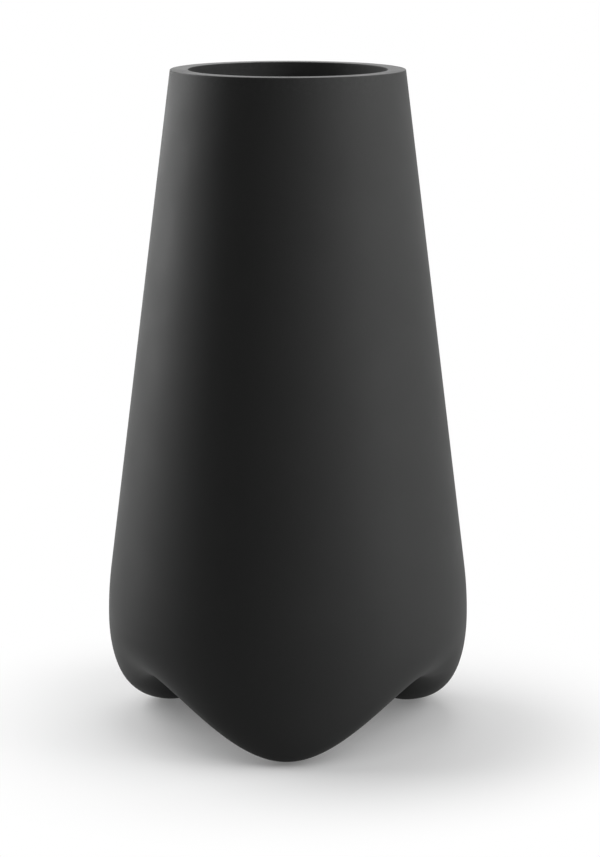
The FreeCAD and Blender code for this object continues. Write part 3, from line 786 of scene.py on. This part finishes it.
def plug_surfaces(size, node_name, hole):
    """Plug, a hollow barrel on a flange, and the bar underneath that it is pulled by.

    The barrel and the flange are a polyline with rounded corners, carried round the axis. The bar is a slab.
    """
    low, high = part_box(node_name)
    flange = high.x
    flange_low = low.z + size.grip_height
    flange_high = flange_low + size.plug_flange
    barrel = hole / 2 - size.plug_clearance
    core = barrel - size.plug_wall
    profile = rounded([
        (HUB, flange_low), (flange, flange_low), (flange, flange_high), (barrel, flange_high),
        (barrel, high.z - size.plug_lead), (barrel - size.plug_lead / 2, high.z), (core, high.z),
        (core, flange_high), (HUB, flange_high)], PLUG_ROUNDING)
    poles = [(0, 0, flange_low), (0, 0, flange_high)]
    turned_part = closed_surface(turned(profile, around(PLUG_COLUMNS)), poles)
    half = hole / 2
    inside = flange_low + size.plug_flange / 2
    outline = rounded([
        (0, low.z), (half, low.z), (half, inside), (-half, inside), (-half, low.z), (0, low.z)],
        GRIP_ROUNDING)[:-1]
    grip = slab(outline, -size.grip_thickness / 2, size.grip_thickness / 2, GRIP_EDGE, THICK_ALONG_Y)
    return [turned_part, grip]


def seal_surface(node_name, hole):
    """Washer: a rectangle with rounded corners, carried round the axis."""
    low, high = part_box(node_name)
    inner = hole / 2
    middle = (inner + high.x) / 2
    profile = rounded([
        (middle, low.z), (high.x, low.z), (high.x, high.z),
        (inner, high.z), (inner, low.z), (middle, low.z)], SEAL_ROUNDING)[:-1]
    return closed_surface(turned(profile, around(PLUG_COLUMNS)))


def liner_surfaces(size):
    """Vessel with a step, a hole in its floor and a flange, and a plate on each side for the pivots.

    The vessel is a closed polyline with rounded corners and with sides that lean by the draft, carried round
    the axis. Each plate is a slab.
    """
    base = LINER_LOW.z
    lean = math.tan(size.draft)
    step = size.step_height
    seat = step + size.wall
    under = size.depth
    top = under + size.flange
    flange = LINER_HIGH.x
    mouth = size.radius - size.wall
    lower = size.step_width + size.wall
    hole = size.stopper_hole / 2
    start = hole * LINER_START
    outside = size.radius - (under - np.array([0.0, step, seat, size.floor])) * lean
    corners = np.array([
        (start, 0.0), (outside[0] - size.step_width, 0.0), (outside[1] - size.step_width, step),
        (outside[1], step), (size.radius, under), (flange, under), (flange, top), (mouth, top),
        (mouth, under), (outside[2] - size.wall, seat), (outside[2] - lower, seat),
        (outside[3] - lower, size.floor), (hole, size.floor), (hole, 0.0), (start, 0.0)])
    corners[:, 1] += base
    profile = rounded(corners, LINER_ROUNDING)[:-1]
    surfaces = [closed_surface(turned(profile, around(LINER_COLUMNS)))]

    half = size.ear_width / 2
    cut = size.ear_corner
    foot = base + top - size.flange / 2
    high = LINER_HIGH.z
    outline = rounded([
        (0, foot), (half, foot), (half, high - cut), (half - cut, high), (cut - half, high),
        (-half, high - cut), (-half, foot), (0, foot)], EAR_ROUNDING)[:-1]
    for hand in HANDS:
        near = hand * mouth
        far = hand * (mouth + size.ear_thickness)
        surfaces.append(slab(outline, min(near, far), max(near, far), EAR_EDGE, THICK_ALONG_X))
    return surfaces


# Operators

class PLANTER_OT_shell(bpy.types.Operator):
    """Mould the shell"""

    bl_idname = "planter.shell"
    bl_label = "Shell"

    def execute(self, context):
        finish = shell_finish(context.scene.planter_finishes)
        points, marks = shell_surface(context.scene.planter_shell)
        surfaces = [closed_surface(points)]
        piece = add_piece("shell_moulding", surfaces, finish, "planter", "shell_plastic", "outer_shell")
        for name, values in marks.items():
            stored = piece.data.attributes.new(name, "FLOAT", "POINT")
            stored.data.foreach_set("value", values.reshape(-1).astype(np.float32))
        return {"FINISHED"}


class PLANTER_OT_pads(bpy.types.Operator):
    """Put a rubber pad under each toe"""

    bl_idname = "planter.pads"
    bl_label = "Foot pads"

    def execute(self, context):
        finish = rubber_finish("pad_rubber_black", context.scene.planter_finishes.pad_colour)
        sizes = context.scene.planter_fittings
        for name in FEET:
            add_piece(f"{name}_rubber", [pad_surface(sizes, name)], finish, "planter", "pad_rubber", name)
        return {"FINISHED"}


class PLANTER_OT_plugs(bpy.types.Operator):
    """Make the drain plug with its seal, and the liner's stopper"""

    bl_idname = "planter.plugs"
    bl_label = "Plugs"

    def execute(self, context):
        finishes = context.scene.planter_finishes
        sizes = context.scene.planter_fittings
        drain = context.scene.planter_shell.drain_diameter
        stopper = context.scene.planter_liner.stopper_hole
        plastic = plastic_finish("plug_plastic_black", finishes.plug_colour, *PLUG_PLASTIC)
        soft = rubber_finish("seal_rubber_black", finishes.pad_colour)
        rubber = rubber_finish("stopper_rubber_black", finishes.stopper_colour)
        drain_plug = plug_surfaces(sizes, "drain_plug", drain)
        seal = [seal_surface("drain_seal", drain)]
        liner_plug = plug_surfaces(sizes, "liner_plug", stopper)
        add_piece("drain_plug_moulding", drain_plug, plastic, "drain", "plug_plastic", "drain_plug")
        add_piece("drain_seal_washer", seal, soft, "drain", "pad_rubber", "drain_seal")
        add_piece("liner_plug_rubber", liner_plug, rubber, "stopper", "stopper_rubber", "liner_plug")
        return {"FINISHED"}


class PLANTER_OT_liner(bpy.types.Operator):
    """Make the lift-out liner and finish its grid"""

    bl_idname = "planter.liner"
    bl_label = "Liner and grid"

    def execute(self, context):
        finishes = context.scene.planter_finishes
        plastic = plastic_finish("liner_plastic_black", finishes.liner_colour, *LINER_PLASTIC)
        surfaces = liner_surfaces(context.scene.planter_liner)
        add_piece("liner_moulding", surfaces, plastic, "insert", "liner_plastic", "liner")
        dress_node("liner_grid", plastic_finish("grid_plastic_black", finishes.grid_colour, *GRID_PLASTIC))
        return {"FINISHED"}


class PLANTER_OT_handles(bpy.types.Operator):
    """Lay the two folding handles round the mouth of the liner"""

    bl_idname = "planter.handles"
    bl_label = "Handles"

    def execute(self, context):
        tint = context.scene.planter_finishes.handle_colour
        finish = plastic_finish("handle_plastic_black", tint, *HANDLE_PLASTIC)
        sizes = context.scene.planter_fittings
        for name, (body, side) in HANDLES.items():
            surfaces = handle_surfaces(sizes, name, side)
            add_piece(f"{name}_bail", surfaces, finish, body, "handle_plastic", name)
        return {"FINISHED"}


def add_lamp(name, place, aim, width, height, power, linked, link):
    """Soft panel that points at a place. It leaves out the linked objects, or lights nothing else."""
    lamp = bpy.data.lights.new(name, "AREA")
    lamp.shape = "RECTANGLE"
    lamp.size = width
    lamp.size_y = height
    lamp.energy = power
    panel = bpy.data.objects.new(name, lamp)
    panel.location = place
    direction = Vector(aim) - Vector(place)
    panel.rotation_euler = direction.to_track_quat("-Z", "Y").to_euler()
    panel.visible_camera = False
    bpy.context.scene.collection.objects.link(panel)
    receivers = bpy.data.collections.new(f"{name}_receivers")
    for item in linked:
        receivers.objects.link(item)
    for entry in receivers.collection_objects:
        entry.light_linking.link_state = link
    panel.light_linking.receiver_collection = receivers


def seen_directly(tree):
    """One where a surface is seen by the camera, in a reflection or through something, and else nought."""
    path = node(tree, "ShaderNodeLightPath")
    seen = maths(tree, "MAXIMUM", path.outputs["Is Camera Ray"], path.outputs["Is Glossy Ray"])
    return maths(tree, "MAXIMUM", seen, path.outputs["Is Transmission Ray"])


def floor_finish(stage):
    """Pale paint that turns plain white away from the planter, and throws little light back onto it."""
    finish, tree, place = new_finish("floor_paint")
    away = node(tree, "ShaderNodeVectorMath", {0: place}, operation="LENGTH").outputs["Value"]
    far = node(tree, "ShaderNodeMapRange", {
        "Value": away, "From Min": stage.floor_near, "From Max": stage.floor_far},
        interpolation_type="SMOOTHSTEP")
    seen = seen_directly(tree)
    bounce = (stage.floor_bounce, stage.floor_bounce, stage.floor_bounce, 1.0)
    paint = node(tree, "ShaderNodeMix", {
        MIX_FACTOR: seen, MIX_FIRST: bounce, MIX_SECOND: (*stage.floor_colour, 1.0)}, data_type="RGBA")
    diffuse = node(tree, "ShaderNodeBsdfDiffuse", {"Color": paint.outputs[MIX_RESULT]})
    glow = node(tree, "ShaderNodeEmission", {"Strength": maths(tree, "MULTIPLY", seen, stage.floor_glow)})
    near = node(tree, "ShaderNodeAddShader", {0: diffuse.outputs["BSDF"], 1: glow.outputs["Emission"]})
    white = node(tree, "ShaderNodeEmission", {"Color": WHITE, "Strength": 1.0})
    white_share = maths(tree, "MULTIPLY", far.outputs["Result"], seen)
    shader = node(tree, "ShaderNodeMixShader", {
        0: white_share, 1: near.outputs["Shader"], 2: white.outputs["Emission"]})
    node(tree, "ShaderNodeOutputMaterial", {"Surface": shader.outputs["Shader"]})
    return finish


def add_floor(stage):
    """Round floor: rings of points at growing radii about the middle, on the level of the pads."""
    azimuth = around(FLOOR_COLUMNS)
    radius = stage.floor_radius * np.linspace(FLOOR_FIRST_RING, 1.0, FLOOR_RINGS)
    x = radius * np.sin(azimuth)[:, None]
    y = -radius * np.cos(azimuth)[:, None]
    ring = np.stack([x, y, np.zeros_like(x)], axis=-1)
    rows, columns = ring.shape[:2]
    points = np.concatenate([ring.reshape(-1, 3), np.zeros((1, 3))])
    quads = grid_faces(rows, columns, False)
    middle = fan_faces(np.arange(rows) * columns, rows * columns)
    mesh = bpy.data.meshes.new("floor")
    mesh.from_pydata(points.tolist(), [], quads[:, ::-1].tolist() + middle.tolist())
    mesh.materials.append(floor_finish(stage))
    floor = bpy.data.objects.new("floor", mesh)
    bpy.context.scene.collection.objects.link(floor)
    return floor


def set_world(stage):
    """White surroundings where they are seen, and a low even light elsewhere."""
    world = bpy.data.worlds.new("studio")
    world.use_nodes = True
    tree = world.node_tree
    tree.nodes.clear()
    level = spread(tree, seen_directly(tree), stage.ambient, 1.0)
    sky = node(tree, "ShaderNodeBackground", {"Color": WHITE, "Strength": level})
    node(tree, "ShaderNodeOutputWorld", {"Surface": sky.outputs["Background"]})
    bpy.context.scene.world = world


def add_camera(stage):
    """Camera at the photograph's angle, with its frame moved sideways as the photograph's is."""
    lens = bpy.data.cameras.new("camera")
    lens.sensor_width = SENSOR
    lens.lens = stage.focal_pixels / PHOTO_HEIGHT * SENSOR
    lens.shift_x = (PHOTO_WIDTH / 2 - stage.centre_column) / PHOTO_HEIGHT
    camera = bpy.data.objects.new("camera", lens)
    turn = stage.camera_turn
    distance = stage.camera_distance
    camera.location = (distance * math.sin(turn), -distance * math.cos(turn), stage.camera_height)
    camera.rotation_euler = (math.pi / 2 - stage.camera_pitch, 0.0, turn)
    bpy.context.scene.collection.objects.link(camera)
    bpy.context.scene.camera = camera


class PLANTER_OT_stage(bpy.types.Operator):
    """Set the floor, the lamps and the camera"""

    bl_idname = "planter.stage"
    bl_label = "Stage"

    def execute(self, context):
        stage = context.scene.planter_stage
        floor = [add_floor(stage)]
        inside = [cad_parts["liner_grid"], *(bpy.data.objects[name] for name in INSIDE_PIECES)]
        set_world(stage)
        links = {"planter": (floor, "EXCLUDE"), "inside": (inside, "INCLUDE"), "floor": (floor, "INCLUDE")}
        for name, (lit, power, place, level, width, height) in LAMPS.items():
            add_lamp(name, place, (0.0, 0.0, level), width, height, power, *links[lit])
        add_camera(stage)
        context.scene.view_settings.view_transform = "Standard"
        return {"FINISHED"}


class PLANTER_PT_pieces(bpy.types.Panel):
    """List of the planter's pieces and of the stage"""

    bl_idname = "PLANTER_PT_pieces"
    bl_label = "Planter"
    bl_space_type = "VIEW_3D"
    bl_region_type = "UI"
    bl_category = "Planter"

    def draw(self, context):
        for operator in OPERATORS:
            self.layout.operator(operator.bl_idname)


GROUPS = {
    "planter_shell": PlanterShellSizes,
    "planter_fittings": PlanterFittingSizes,
    "planter_liner": PlanterLinerSizes,
    "planter_finishes": PlanterFinishes,
    "planter_stage": PlanterStageSizes,
}
OPERATORS = (
    PLANTER_OT_shell, PLANTER_OT_pads, PLANTER_OT_plugs,
    PLANTER_OT_liner, PLANTER_OT_handles, PLANTER_OT_stage)


def register():
    """Register the groups, operators and panel, and hang the groups on the scene."""
    for name, group in GROUPS.items():
        bpy.utils.register_class(group)
        setattr(bpy.types.Scene, name, PointerProperty(type=group))
    for operator in OPERATORS:
        bpy.utils.register_class(operator)
    bpy.utils.register_class(PLANTER_PT_pieces)


def unregister():
    """Take off what register put on, in the opposite order."""
    bpy.utils.unregister_class(PLANTER_PT_pieces)
    for operator in reversed(OPERATORS):
        bpy.utils.unregister_class(operator)
    for name, group in reversed(GROUPS.items()):
        delattr(bpy.types.Scene, name)
        bpy.utils.unregister_class(group)


def main():
    """Make every piece and the stage."""
    register()
    bpy.ops.planter.shell()
    bpy.ops.planter.pads()
    bpy.ops.planter.plugs()
    bpy.ops.planter.liner()
    bpy.ops.planter.handles()
    bpy.ops.planter.stage()


if __name__ == "__main__":
    main()
